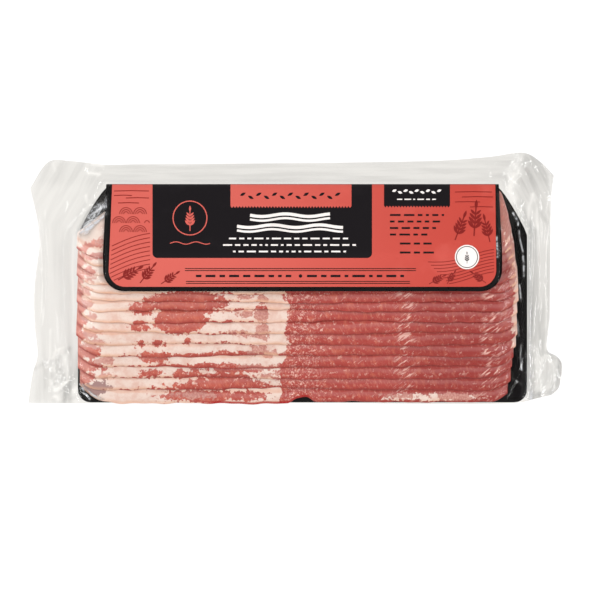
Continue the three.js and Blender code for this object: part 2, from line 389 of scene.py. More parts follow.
def rasher_shape(k):
    """A bmesh of rasher k."""
    bm = bmesh.new()
    bmesh.ops.create_grid(bm, x_segments=ACROSS, y_segments=len(ROWS) - 1, size=0.5)
    layers = {n: bm.verts.layers.float.new(n) for n in ("lean", "mauve", "flecks")}
    cut = bm.verts.layers.float_vector.new("cut")
    u = np.array([v.co.x + 0.5 for v in bm.verts])
    row = np.rint([(v.co.y + 0.5) * (len(ROWS) - 1) for v in bm.verts]).astype(int)
    left, right = rasher_ends(k)
    # the columns are closer together towards both ends
    x = left + (right - left) * (u - 0.1 * np.sin(2 * np.pi * u))
    front, back = rasher_edges(k, x)
    t = np.array(ROWS)[row] / RASHER_WIDTH * (back - front)
    y = front + t
    rim = np.minimum.reduce([x - left, right - x, back - y]) + 0.05
    z = rasher_face(k, x, y, t, rim)
    px, py = picture_spot(x, y, z)
    lean = leanness(px, py, k, t)
    mauve = deepest(MAUVE_ISLANDS, px, py)
    flecks = np.interp(px, *FLECKS)
    flecks = np.where(px < FLECKS[0][0], 0.7, flecks)
    bm.verts.ensure_lookup_table()
    for i, vert in enumerate(bm.verts):
        vert.co = (x[i], y[i], z[i])
        vert[cut] = (x[i], t[i], k)
        vert[layers["lean"]] = lean[i]
        vert[layers["mauve"]] = mauve[i]
        vert[layers["flecks"]] = flecks[i]

    def place_under(co):
        under = float(underside(k, np.array([co.y]))[0])
        return Vector((co.x, co.y, min(under, co.z - 0.4)))

    thicken_down(bm, place_under)
    return bm


# %% [markdown]
# ## Raw bacon
#
# The finish starts from what the meat is. Lean is myoglobin red with a fine grain across the
# muscle's fibres and thread-like flecks of fat; fat is a warm cream; the sawn muscle ends are a
# dull mauve; and the smoked side leaves a thin orange-brown line at the front edge of the fat.
# Light and shade are painted in as well: a paler haze just below each edge is a painted sheen of
# the film that bridges the step there, the front edge of the lean gets a painted dark-red shade,
# and a painted shadow lies at the next rasher's edge. Everything is moist, so it has a low
# roughness and a fine bump. All scales and places are in millimetres.

# %% Raw bacon material
def raw_bacon():
    """Moist raw bacon: lean, fat, mauve muscle ends and flecks."""
    material, tree = new_material("raw_cured_pork_belly")
    cut = add(tree, "Attribute", out="Vector", attribute_name="cut")
    lean_depth, mauve_depth, fleck_share = [
        add(tree, "Attribute", out="Fac", attribute_name=name)
        for name in ("lean", "mauve", "flecks")]
    place, from_edge, number = [add(tree, "SeparateXYZ", [cut], axis) for axis in "XYZ"]
    # each rasher has its own fine pattern: its number moves it through the noise
    spot = add(tree, "VectorMath", (cut, (1, 1, 7.3)), operation="MULTIPLY")

    def noise(scale, detail=3.0, stretch=(1, 1, 1), turn=0.0):
        """Noise of so many features a millimetre, turned in the face and drawn out."""
        at = add(tree, "Mapping", {"Vector": spot, "Scale": stretch, "Rotation": (0, 0, turn)},
                 vector_type="TEXTURE")
        return add(tree, "TexNoise", {"Vector": at, "Scale": scale, "Detail": detail,
                                      "Roughness": 0.6}, "Fac")

    # the boundaries of lean and of mauve, lobed at 1 to 4 mm
    lobes = add(tree, "Math", (noise(0.85, 1.0), 2.4, -4.4), operation="MULTIPLY_ADD")
    lobes = add(tree, "Math", (noise(0.3, 2.0), 6.5, lobes), operation="MULTIPLY_ADD")
    is_lean, is_mauve = [
        add(tree, "MapRange", (add(tree, "Math", (depth, lobes)), start, 0.4), **SMOOTH)
        for depth, start in ((lean_depth, -0.3), (mauve_depth, -0.2))]

    # lean is redder towards the broad muscle, has broad changes of tone and a grain, and is pale
    # where it thins out at the ends; fat has pinker shallows, and its far left end is paled by a
    # painted haze of the film over it; and the lowest two rashers have the darkest, greyest ends
    lean = layered(
        tree, "#bd5a4b", ("#aa423b", 1.0, (place, -75, 5)), ("#962e2a", 0.6, (place, 40, 85)),
        ("#9c3530", 0.55, (noise(0.13), 0.35, 0.7)),
        ("#cc7058", 0.5, (noise(0.28, 3.0, (0.8, 1.8, 1), 0.3), 0.5, 0.68)),
        ("#d58c78", 0.4, (noise(0.7, 2.0, (0.8, 2.2, 1), 0.4), 0.5, 0.72)),
        ("#82201f", 0.42, (place, 35, 80)), ("#dd9a8e", 0.6, (place, -108, -117)),
        ("#efc6bb", 0.5, (place, -106, -114), (number, 5, 11)),
        ("#dd9a8e", 0.5, (number, 12.5, 13.5)))
    fat = layered(
        tree, "#e2cdc4", ("#d8b5a9", 1.0, (noise(0.16), 0.42, 0.72)),
        ("#cfa294", 0.4, (noise(1.0, 4.0), 0.5, 0.75)), ("#e9dcd5", 0.75, (place, -104, -112)),
        ("#b99082", 0.55, (place, 106, 112)))
    mauve = layered(
        tree, "#b4766c", ("#cf9b90", 1.0, (noise(0.9), 0.35, 0.7)),
        ("#dfb3ab", 0.5, (place, -100, -112)), ("#8e5550", 0.45, (place, 98, 110)),
        ("#917676", 0.8, (place, -94, -104), (number, 1.6, 1.4)))

    # flecks of fat in the lean: broken threads about 0.4 mm wide, mostly slanting
    def threads(most, scale, thin, dense, stretch, turn, crowding):
        """Broken contour lines of a noise, as a share up to most."""
        off = add(tree, "Math", (noise(scale, 2.0, stretch, turn), 0.5), operation="SUBTRACT")
        off = add(tree, "Math", [off], operation="ABSOLUTE")
        kept = add(tree, "MapRange", (noise(crowding, 2.0), dense, dense + 0.07, 0.0, most),
                   **SMOOTH)
        return add(tree, "MapRange", (off, thin * 2.4, thin, 0.0, kept), **SMOOTH)

    most = add(tree, "Math", (fleck_share, 0.8), operation="MULTIPLY")
    crowd = add(tree, "MapRange", (place, -22, -10, 0.12, 1.0), **SMOOTH)
    crowd = add(tree, "MapRange", (place, 20, -5, 0.0, crowd), **SMOOTH)
    crowd = add(tree, "Math", (crowd, most), operation="MULTIPLY")
    sparse = threads(most, 0.3, 0.026, 0.56, (1.6, 0.8, 1), 0.8, 0.45)
    close = threads(crowd, 0.4, 0.036, 0.5, (0.8, 1.3, 1), -0.4, 0.95)
    lean = layered(tree, lean, ("#efc5b8", add(tree, "Math", (sparse, close), operation="MAXIMUM")))
    # two slanting seams of fat cross the broad muscle
    seam = noise(0.42, 3.0, (3.2, 0.6, 1), 0.62)
    for middle, reach in ((55.0, 7.0), (101.0, 7.5)):
        off = add(tree, "Math", (place, middle), operation="SUBTRACT")
        off = add(tree, "Math", [off], operation="ABSOLUTE")
        lean = layered(tree, lean, ("#e8bbb0", 0.85, (seam, 0.54, 0.61), (off, reach, reach * 0.3)))

    # how far in front of the next rasher's edge a spot lies
    pitch = add(tree, "MapRange",
                (number, OPEN_STEPS - 0.6, OPEN_STEPS - 0.4, OPEN_PITCH, CLOSE_PITCH))
    below = add(tree, "Math", (pitch, from_edge), operation="SUBTRACT")
    uneven = add(tree, "Math", (noise(0.4), 0.9, from_edge), operation="MULTIPLY_ADD")
    patchy = add(tree, "MapRange", (noise(0.05, 2.0), 0.3, 0.6, 0.55, 1.0), **SMOOTH)
    film_sheen_share, edge_shade_and_smoke_share, under_edge_shadow_share = [
        add(tree, "Math", (value, share), operation="MULTIPLY")
        for value, share in ((is_lean, 0.25), (patchy, 0.85), (patchy, 0.5))]
    edge_shade_and_smoke_tint = add(tree, "Mix", (is_lean, "#d9a68a", "#96322c"), **COLOUR)
    under_edge_shadow_tint = add(tree, "Mix", (is_lean, "#d9a288", "#8f2c29"), **COLOUR)
    meat = layered(
        tree, fat, (lean, is_lean), (mauve, is_mauve),
        # painted haze on lean: the film's sheen where it bridges the step below the next rasher's
        # edge
        ("#b98080", film_sheen_share, (below, 0.2, 1.0), (below, 3.6, 1.6)),
        # the edge itself: a painted dark-red shade on lean, the smoked orange-brown line on fat
        (edge_shade_and_smoke_tint, edge_shade_and_smoke_share, (uneven, 2.9, 0.5)),
        # a painted shadow at the next rasher's edge: dark red on lean, tan on fat
        (under_edge_shadow_tint, under_edge_shadow_share, (below, 0.7, -0.2), (below, -3.0, -1.0)),
        # juice gathers at the lowest rasher's front edge
        ("#a31712", 0.85, (number, 0.6, 0.4), (from_edge, 1.7, 0.9), (place, 8, 2),
         (place, -62, -48)))

    bump = add(tree, "Bump", {"Strength": 0.25, "Distance": 0.00025, "Height": noise(1.6, 5.0)})
    skin = add(tree, "BsdfPrincipled", {
        "Base Color": meat, "Roughness": 0.42, "IOR": 1.4, "Normal": bump})
    add(tree, "OutputMaterial", {"Surface": skin})
    return material


bacon = raw_bacon()

# %% Lay the rashers
rashers = []
for k in range(RASHERS):
    name = f"rasher_{k + 1:02d}"
    piece = finish_piece(rasher_shape(k), f"bacon_{name}", bacon)
    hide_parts(name)
    rashers.append(piece)
print("rashers:", len(rashers), "faces each:", len(rashers[0].data.polygons))


# %% [markdown]
# ## The card
#
# One sheet of black coated board carries everything. It lies flat under the rashers with
# its far corners cut off, turns up round the fold, and comes back over the rashers as the
# label flap. Seen from its end it is one line, so it is built as a grid whose rows follow
# that line and whose columns spread to the card's width there, and then gets a thickness.

# %% The line that the card follows
FLAP_LINE = [(0.8, 23.1), (8, 24.6), (16, 25.7), (20.2, 25.7), (25.5, 23.5), (35, 18.4),
             (46, 12.3), (55.5, 7.2), (58.2, 5.6), (59.1, 4.0), (58.9, 2.2), (57.4, 1.1)]
CARD_THICK, CARD_Z = 0.5, 1.1
FLAP_EDGE, FLAP_CORNER, FRONT_CORNER = 0.8, 11.0, 7.0
CUT_FROM, CUT_LONG = 57.4, 25  # where the cut of the back corners starts, and its length


def smooth_run(points, pieces=16):
    """A smooth line through points, as an array of close points."""
    ends = [np.array(p, float) for p in points]
    ends = [2 * ends[0] - ends[1]] + ends + [2 * ends[-1] - ends[-2]]
    run = []
    for a, b, c, d in zip(ends, ends[1:], ends[2:], ends[3:]):
        knots = [0.0]
        for p, q in ((a, b), (b, c), (c, d)):
            knots.append(knots[-1] + max(np.linalg.norm(q - p), 1e-6) ** 0.5)
        t0, t1, t2, t3 = knots
        for t in np.linspace(t1, t2, pieces, endpoint=False):
            p = (a * (t1 - t) + b * (t - t0)) / (t1 - t0)
            q = (b * (t2 - t) + c * (t - t1)) / (t2 - t1)
            r = (c * (t3 - t) + d * (t - t2)) / (t3 - t2)
            near = (p * (t2 - t) + q * (t - t0)) / (t2 - t0)
            far = (q * (t3 - t) + r * (t - t1)) / (t3 - t1)
            run.append((near * (t2 - t) + far * (t - t1)) / (t2 - t1))
    return np.array(run + [ends[-2]])


def lengths(run):
    """Length along a run of points up to each of them."""
    return np.concatenate([[0], np.cumsum(np.linalg.norm(np.diff(run, axis=0), axis=1))])


flap_run = smooth_run(FLAP_LINE)
card_run = np.vstack([flap_run, np.linspace((57.0, CARD_Z), (CARD_FRONT, CARD_Z), 60)])
card_length = lengths(card_run)
flap_length = card_length[len(flap_run) - 1]
print("card's flat size in mm:", round(float(card_length[-1]), 1), "x", 2 * CARD_HALF)


# %% The card's sheet
def rounding(distance, radius):
    """How far a round corner draws a side in, at a distance from the end edge."""
    inset = radius - min(max(distance, 0), radius)
    return radius - math.sqrt(radius ** 2 - inset ** 2)


def half_width(y, on_flap):
    """Half of the card's width at a row."""
    if on_flap:
        spread = FLAP_HALF + (FOLD_HALF - FLAP_HALF) * (y / CARD_FOLD) ** 2
        return spread - rounding(y - FLAP_EDGE, FLAP_CORNER)
    cut = min(max((CUT_FROM - y) / CUT_LONG, 0), 1) ** 0.8
    return (FOLD_HALF + (CARD_HALF - FOLD_HALF) * cut
            - rounding(y - CARD_FRONT, FRONT_CORNER))


def card_shape():
    """A bmesh of the card, from the flap's free edge to the front edge."""
    stops = np.concatenate([
        [0, 0.15, 0.4, 0.8, 1.4, 2.2, 3.2], np.linspace(4.5, flap_length, 66),
        flap_length + np.array([0.6, 2, 4, 7, 10, 14, 18, 22, 26, 40, 60, 80, 100]),
        card_length[-1] - np.array([7.5, 5, 3, 1.8, 0.9, 0.3, 0])])
    bm = bmesh.new()
    bmesh.ops.create_grid(bm, x_segments=72, y_segments=len(stops) - 1, size=0.5)
    for vert in bm.verts:
        at = stops[round((vert.co.y + 0.5) * (len(stops) - 1))]
        y = float(np.interp(at, card_length, card_run[:, 0]))
        z = float(np.interp(at, card_length, card_run[:, 1]))
        half = half_width(y, at < flap_length - 1.5)
        vert.co = (2 * half * vert.co.x, y, z)
    bmesh.ops.recalc_face_normals(bm, faces=bm.faces)
    bm.normal_update()
    over_flap = Vector((0, 10, 25))
    middle = min(bm.faces, key=lambda face: (face.calc_center_median() - over_flap).length)
    if middle.normal.z < 0:
        bmesh.ops.reverse_faces(bm, faces=bm.faces)
    bm.normal_update()
    bmesh.ops.solidify(bm, geom=bm.faces, thickness=CARD_THICK)
    bmesh.ops.recalc_face_normals(bm, faces=bm.faces)
    return bm


# %% [markdown]
# The board is coated black on both faces. Coated board has a soft satin gloss and a trace
# of fibre in its surface, and the black also carries faint scuffs where the film has
# rubbed it. The fibres, about 1 mm long, and the scuffs, some 17 mm across, have their
# scales in features a metre.

# %% Coated board
def coated_board(name, colour, scuff, gloss=0.32, far_colour=None, shine=0.15):
    """Satin coated paperboard with a faint fibre grain and scuffs, and a second colour at
    its right end if the ink is graded."""
    material, tree = new_material(name)
    place = add(tree, "TexCoord", out="Object")
    fibre, cloud = [
        add(tree, "TexNoise", {"Vector": place, "Scale": scale, "Detail": detail}, "Fac")
        for scale, detail in ((900, 4), (60, 3))]
    across = add(tree, "SeparateXYZ", [place], "X")
    ink = layered(tree, colour, (far_colour or colour, 1.0, (across, -0.06, 0.1)),
                  (scuff, 0.5, (cloud, 0.52, 0.72)))
    bump = add(tree, "Bump", {"Strength": 0.12, "Distance": 0.0001, "Height": fibre})
    skin = add(tree, "BsdfPrincipled", {"Base Color": ink, "Roughness": gloss,
                                        "Specular IOR Level": shine, "Normal": bump})
    add(tree, "OutputMaterial", {"Surface": skin})
    return material


black_board = coated_board("coated_board_black", "#090708", "#100d0e", shine=0.05)
card = finish_piece(card_shape(), "card_sheet", black_board)
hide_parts("label_card")
print("card faces:", len(card.data.polygons))

# %% [markdown]
# ## Printing the label
#
# The label's print is a few flat inks on the flap: a coral field with a black border,
# black panels, and small marks in white, black and dark red. The marks here are plain
# ornaments. Each ink is cut as flat shapes in the picture's own pixels, sliced every two
# pixels so that it can bend, and then laid on the flap's curve, a few hundredths of a
# millimetre up. Later inks lie a little higher, as overprints do.

# %% Laying flat shapes on the flap
heading = np.gradient(flap_run, axis=0)
heading /= np.linalg.norm(heading, axis=1)[:, None]
printed_face = flap_run + CARD_THICK / 2 * np.stack([-heading[:, 1], heading[:, 0]], axis=1)
printed_face = printed_face[:int(np.argmax(printed_face[:, 0])) + 1]
PRINT_ROWS = range(186, 292, 2)  # the picture's rows at which the inks are sliced


def flap_height(y):
    """Height of the flap's printed face."""
    return float(np.interp(y, printed_face[:, 0], printed_face[:, 1]))


def lay_ink(bm, name, material, lift):
    """Slices flat shapes drawn in pixels, bends them over the flap and finishes them."""
    for row in PRINT_ROWS:
        bmesh.ops.bisect_plane(bm, geom=bm.verts[:] + bm.edges[:] + bm.faces[:],
                               plane_co=(0, row, 0), plane_no=(0, 1, 0))
    for vert in bm.verts:
        vert.co = raised_spot(vert.co.x, vert.co.y, 15.0, lambda x, y: flap_height(y) + lift)
    bmesh.ops.triangulate(bm, faces=bm.faces)
    bm.normal_update()
    for face in bm.faces:
        if face.normal.z < 0:
            face.normal_flip()
    return finish_piece(bm, name, material)


# %% Flat shapes in pixels
def plate(bm, corners, radius=0.0, segments=6):
    """A flat shape. With a radius, its corners below its middle are rounded."""
    verts = [bm.verts.new((x, y, 0)) for x, y in corners]
    bm.faces.new(verts)
    if radius:
        middle = sum(y for x, y in corners) / len(corners)
        bmesh.ops.bevel(bm, geom=[v for v in verts if v.co.y > middle], offset=radius,
                        affect="VERTICES", segments=segments, profile=0.5, material=-1)


def disc(bm, x, y, radius, hole=0.0):
    """A disc, or a ring."""
    made = bmesh.ops.create_circle(bm, cap_ends=hole == 0, segments=40, radius=radius)
    bmesh.ops.translate(bm, vec=(x, y, 0), verts=made["verts"])
    if hole:
        rim = list({e for v in made["verts"] for e in v.link_edges})
        inner = bmesh.ops.extrude_edge_only(bm, edges=rim)
        verts = [g for g in inner["geom"] if isinstance(g, bmesh.types.BMVert)]
        bmesh.ops.scale(bm, vec=(hole / radius,) * 2 + (1,), verts=verts,
                        space=Matrix.Translation((-x, -y, 0)))


def ribbon(bm, x, y, width):
    """A stroke of an even width through points."""
    run = np.stack(np.broadcast_arrays(np.asarray(x, float), y), axis=1)
    along = np.gradient(run, axis=0)
    along /= np.maximum(np.linalg.norm(along, axis=1), 1e-9)[:, None]
    side = np.stack([-along[:, 1], along[:, 0]], axis=1) * width / 2
    verts = [bm.verts.new((x, y, 0)) for x, y in run - side]
    edges = [bm.edges.new(pair) for pair in zip(verts, verts[1:])]
    made = bmesh.ops.extrude_edge_only(bm, edges=edges)
    copies = [g for g in made["geom"] if isinstance(g, bmesh.types.BMVert)]
    for copy in copies:
        nearest = int(np.argmin(np.hypot(*(run - side - np.array(copy.co.xy)).T)))
        copy.co.xy = (run + side)[nearest]


def leaf(bm, x, y, length, turn, fat=0.34):
    """A pointed leaf of the given length, turned in radians."""
    share = np.linspace(0, 1, 7)
    upper = [(s * length, fat * length * math.sin(math.pi * s) / 2) for s in share]
    lower = [(s * length, -fat * length * math.sin(math.pi * s) / 2) for s in share[-2:0:-1]]
    c, s = math.cos(turn), math.sin(turn)
    plate(bm, [(x + a * c - b * s, y + a * s + b * c) for a, b in upper + lower])


def sprig(bm, x, y, size, turn, leaves=4):
    """A stem with leaves on both sides and one at its tip."""
    c, s = math.cos(turn), math.sin(turn)
    stem = size * np.array([0, 0.5, 1])
    ribbon(bm, x + stem * c, y + stem * s, size * 0.045)
    for i in range(leaves):
        at = (0.25 + 0.6 * i / leaves) * size
        for side in (-1, 1):
            leaf(bm, x + at * c, y + at * s, size * (0.36 - 0.035 * i), turn + side * 0.75)
    leaf(bm, x + 0.9 * size * c, y + 0.9 * size * s, size * 0.32, turn)


def dashes(bm, x0, x1, y, height, seed):
    """A row of short strokes of uneven length."""
    draw = np.random.default_rng(seed)
    x = x0
    while x < x1 - 1:
        length = min(draw.choice([1.6, 2.4, 3.2, 4.4, 5.6]) * height / 1.6, x1 - x)
        ribbon(bm, (x, x + length / 2, x + length), y, height * 0.62)
        x += length + 1.15 * height


print("a leaf of 5 px is", round(5 * PIXEL, 2), "mm long")


# %% [markdown]
# The inks follow the real label's layout of fields: a coral ground inside a black border,
# a large black panel at the left, a smaller one at its right, toothed tabs where colours
# meet at the top, a pale disc at the right end, and ruled lines near the free edge.

# %% The coral ground and the black panels
coral = coated_board("litho_ink_coral", "#c65c52", "#c4574d", 0.4, "#b7443a")
black = coated_board("litho_ink_black", "#130f12", "#1b171a", 0.36)
white = coated_board("litho_ink_white", "#e6dfdb", "#d8d0cc", 0.45)
dark_red = coated_board("litho_ink_dark_red", "#7c1f1c", "#862a26", 0.4)

TOP = 184.4  # the row at which the print starts, at the fold
TOOTH = 2.0
shape = bmesh.new()
plate(shape, [(112.2, TOP), (495.3, TOP), (496.4, 286.8), (108, 286.8)], 17, 10)
inks = [lay_ink(shape, "print_coral_ground", coral, 0.05)]


def toothed(x0, x1, bottom, teeth):
    """A tab from the fold down, whose lower edge is cut in teeth."""
    edge = [(x1 + (x0 - x1) * i / (2 * teeth), bottom + (TOOTH if i % 2 else 0))
            for i in range(2 * teeth + 1)]
    return [(x0, TOP), (x1, TOP)] + edge


shape = bmesh.new()
plate(shape, [(152.5, TOP), (372, TOP), (372, 258), (152.5, 258)], 5)
plate(shape, toothed(384, 450, 205.5, 22))
inks.append(lay_ink(shape, "print_black_panels", black, 0.1))

shape = bmesh.new()
plate(shape, toothed(230.5, 351.5, 206, 40))
inks.append(lay_ink(shape, "print_coral_tab", coral, 0.15))

# %% White marks
shape = bmesh.new()
for row, x0, x1 in ((217.5, 250, 330), (228.5, 237, 343)):
    x = np.linspace(x0, x1, 60)
    for offset, width in ((-2.3, 3.1), (1.9, 2.2)):
        ribbon(shape, x, row + offset + 1.3 * np.sin((x - x0) / 7.5), width)
for row, x0, x1 in ((238.5, 229, 352), (245, 223, 356), (251.5, 233, 346)):
    dashes(shape, x0, x1, row, 2.6, int(row))
for i in range(9):
    leaf(shape, 392 + 5.6 * i, 191.5, 5.0, 0.35 if i % 2 else -0.35, 0.5)
dashes(shape, 397, 438, 199.3, 1.9, 5)
inks.append(lay_ink(shape, "print_white_marks", white, 0.16))

# %% Black marks
shape = bmesh.new()
for i in range(13):
    leaf(shape, 240 + 7.9 * i, 195.8, 6.6, 0.5 if i % 2 else -0.5, 0.42)
for row, x0, x1 in ((268.6, 185, 416), (270.6, 185, 416), (281.4, 186, 410), (283.4, 186, 410)):
    ribbon(shape, (x0, (x0 + x1) / 2, x1), row, 0.7)
dashes(shape, 196, 294, 276, 3.6, 21)
disc(shape, 300.5, 276, 1.7)
dashes(shape, 307, 408, 276, 3.6, 22)
for row, x0, x1 in ((215, 390, 444), (221.5, 390, 440), (228, 390, 436), (234.5, 390, 430),
                    (243.5, 400, 432), (252.5, 400, 434)):
    dashes(shape, x0, x1, row, 3.0, int(row))
inks.append(lay_ink(shape, "print_black_marks", black, 0.17))

# %% The round emblem in coral lines and the pale disc
shape = bmesh.new()
disc(shape, 190, 218, 17.5, 16.4)
sprig(shape, 190, 231, 21, -math.pi / 2)
x = np.linspace(170, 210, 30)
ribbon(shape, x, 243 + 1.2 * np.sin(x / 3.2), 0.9)
inks.append(lay_ink(shape, "print_coral_emblem", coral, 0.18))

shape = bmesh.new()
disc(shape, 467, 257, 12.2)
inks.append(lay_ink(shape, "print_pale_disc", white, 0.16))
shape = bmesh.new()
disc(shape, 467, 257, 10.9, 10.2)
sprig(shape, 467, 263.5, 10, -math.pi / 2, 3)
inks.append(lay_ink(shape, "print_disc_marks", black, 0.2))

# %% Dark red line ornaments on the coral ground
shape = bmesh.new()
for column in range(4):
    for row in range(3):
        cx, cy = 112 + 14 * column + 7 * (row % 2), 214 + 9 * row
        for radius in (6.4, 4.4, 2.4):
            turn = np.linspace(math.pi, 2 * math.pi, 12)
            if cx + radius < 150.5 and cx - radius > 111:
                ribbon(shape, cx + radius * np.cos(turn), cy + radius * np.sin(turn), 0.7)
for x, y, size, turn in ((118, 280, 24, -0.5), (140, 283, 22, -0.9), (161, 284, 19, -0.6),
                         (455, 240, 26, -1.2), (474, 236, 30, -1.5), (490, 242, 24, -1.8),
                         (429, 284, 17, -0.5), (486, 283, 17, -2.5), (447, 284, 14, -1.0)):
    sprig(shape, x, y, size, turn)
# bundles of parallel curved lines fill the lower corners
for i in range(9):
    x = np.linspace(112 - 0.4 * i + (0, 1.6, 5)[max(i - 6, 0)], 150, 14)
    ribbon(shape, x, 246 + 4.4 * i - (x - 112) * 0.28 - 3 * np.sin((x - 112) / 16), 0.75)
for i in range(8):
    x = np.linspace(428 + 3 * i, 494, 14)
    ribbon(shape, x, 262 + 3.2 * i - (x - 430) * 0.16 + 2.4 * np.sin((x - 430) / 13), 0.7)
for row, x0, x1 in ((191, 114, 149), (195.5, 114, 132), (198, 126, 149), (203, 118, 139),
                    (192, 455, 492), (197, 462, 493), (202, 455, 480), (207, 470, 493)):
    ribbon(shape, (x0, (x0 + x1) / 2, x1), (row, row - 0.4, row), 0.8)
inks.append(lay_ink(shape, "print_red_ornaments", dark_red, 0.14))
print("inks:", len(inks))


# %% [markdown]
# ## Film: where it rests
#
# The pouch is two sheets of clear film. The upper one is sucked down on the card and
# rashers, so its shape is that of a skin under tension: it rests on everything it can
# reach and bridges the hollows between. The way to get that is to measure the height of
# the contents on a raster, drop a skin on it from above, and let the skin relax, each spot
# moving to the mean of its neighbours less a little for the suction, and never below what
# carries it.

# %% Height of the contents
STEP = 1.0  # mm, of a raster that reaches a little past the flange on all sides
ABOVE = 60  # mm, a height above everything
raster_x = np.arange(-154, 147, STEP)
raster_y = np.arange(-65, 81, STEP)
verts, faces = [], []
for piece in rashers + [card]:
    first = len(verts)
    verts += [(v.co - shift) / MM for v in piece.data.vertices]
    faces += [[first + i for i in f.vertices] for f in piece.data.polygons]
contents = BVHTree.FromPolygons(verts, faces)
carried = np.zeros((len(raster_y), len(raster_x)))
for j, y in enumerate(raster_y):
    for i, x in enumerate(raster_x):
        hit = contents.ray_cast(Vector((x, y, ABOVE)), Vector((0, 0, -1)))[0]
        if hit:
            carried[j, i] = hit.z
print("highest point of the contents in mm:", round(float(carried.max()), 2))


# %% Where the flange lies
CUT_ALONG, CUT_ACROSS, CUT_START = 0.867, 0.499, 33  # direction and start of the cut corners


def outside(x, y):
    """Distance from the card's outline in mm, negative inside."""
    corner = (np.abs(x) - CARD_HALF) * CUT_ALONG + (y - CUT_START) * CUT_ACROSS
    return np.maximum.reduce([np.abs(x) - CARD_HALF, y - CARD_DEEP, -CARD_DEEP - y, corner])


def soft_step(value, low, high):
    """Smooth step from 0 at low to 1 at high."""
    share = np.clip((value - low) / (high - low), 0, 1)
    return share * share * (3 - 2 * share)


def flange_rest(x, y):
    """Height of the sealed flange's underside."""
    waves = 1.1 + 0.6 * np.sin(x / 11 + 0.7) * np.cos(y / 17) + 0.5 * np.sin(y / 9 - 1)
    lifts = (6.5 * soft_step(x, 96, 132) * soft_step(y, 46, 72)
             + 5.5 * soft_step(x, 126, 140) * soft_step(-y, 26, 44)
             + 3.2 * soft_step(-x, 124, 146) * soft_step(-y, 30, 50)
             + 2.5 * soft_step(-x, 120, 146) * soft_step(y, 44, 66))
    return (waves + lifts) * soft_step(outside(x, y), 2, 14) + 0.1


# %% Drop the skin and let it relax
SUCTION_RADIUS = 3.5  # mm, the tightest curve the suction bends the film to
SKIN_START = 20.0  # mm, a height from which the skin drops
TURNS = 700
grid_x, grid_y = np.meshgrid(raster_x, raster_y)
floor_level = np.where(carried > 0, carried + 0.18, flange_rest(grid_x, grid_y) + 0.12)
skin = np.where(outside(grid_x, grid_y) < 3, np.maximum(floor_level, SKIN_START), floor_level)
for _ in range(TURNS):
    mean = skin.copy()
    mean[1:-1, 1:-1] = (skin[:-2, 1:-1] + skin[2:, 1:-1] + skin[1:-1, :-2] + skin[1:-1, 2:]) / 4
    skin = np.maximum(floor_level, mean - STEP ** 2 / (4 * SUCTION_RADIUS))
print("film bridges up to", round(float((skin - floor_level)[carried > 0].max()), 2), "mm")


# %% [markdown]
# ## Film: outline and creases
#
# The flange has the outline of the photographed pack, with its cut top corners and the tab
# that curls out at the lower right. Both sheets are grids whose edges follow that outline
# and whose inner points are blended from the four sides. The flange isn't pressed flat, so
# it has long soft creases parallel to its edges, and sharper ones that fan out of the
# corners, where the film has more length than it needs.

# %% The outline, in pixels of the picture
SIDES = {
    "front": [(29, 402.5), (60, 403.4), (120, 403), (300, 403), (520, 402.6), (533, 399.6),
              (551, 394.6)],
    "right": [(551, 394.6), (557, 388), (559.5, 378), (560.5, 363), (556, 356), (547.5, 351),
              (549.6, 320), (550.2, 250), (551.5, 190), (552.6, 176)],
    "back": [(30.5, 188), (50, 161.5), (70, 161), (105, 164.6), (135, 164.3), (300, 163),
             (380, 162), (444, 160.4), (491, 156.8), (524, 153.9), (539, 163), (552.6, 176)],
    "left": [(29, 402.5), (34, 371), (37.6, 357), (34.2, 320), (34.2, 285), (39.4, 238),
             (30.5, 188)],
}


def side_line(name):
    """One side of the outline as many even points in mm."""
    run = smooth_run([plan_spot(px, py, 1.5) for px, py in SIDES[name]], 10)
    length = lengths(run)
    even = np.linspace(0, length[-1], 400)
    return np.stack([np.interp(even, length, run[:, axis]) for axis in (0, 1)], -1)


side_lines = {name: side_line(name) for name in SIDES}


def along(name, share):
    """Points of a side at shares of its length."""
    line = side_lines[name]
    places = np.linspace(0, 1, len(line))
    return np.stack([np.interp(share, places, line[:, axis]) for axis in (0, 1)], -1)


def sheet_places(u, v):
    """Plan places of sheet coordinates, blended from the four sides."""
    u1, v1 = u[:, None], v[:, None]
    front, back = along("front", u), along("back", u)
    left, right = along("left", v), along("right", v)
    (a, b), (c, d) = side_lines["front"][[0, -1]], side_lines["back"][[0, -1]]
    return ((1 - v1) * front + v1 * back + (1 - u1) * left + u1 * right
            - (1 - u1) * (1 - v1) * a - u1 * (1 - v1) * b - (1 - u1) * v1 * c - u1 * v1 * d)


# %% Creases
def crease(x, y, start, end, width, height):
    """A ridge between two pixels, fading towards both."""
    ax, ay = plan_spot(*start, 2)
    bx, by = plan_spot(*end, 2)
    length = math.hypot(bx - ax, by - ay)
    ux, uy = (bx - ax) / length, (by - ay) / length
    share = ((x - ax) * ux + (y - ay) * uy) / length
    off = (x - ax) * uy - (y - ay) * ux + 0.8 * np.sin(share * 7 + ax)
    fade = np.clip(share * 4, 0, 1) * np.clip((1 - share) * 4, 0, 1)
    return height * fade * np.exp(-(off / width) ** 2)


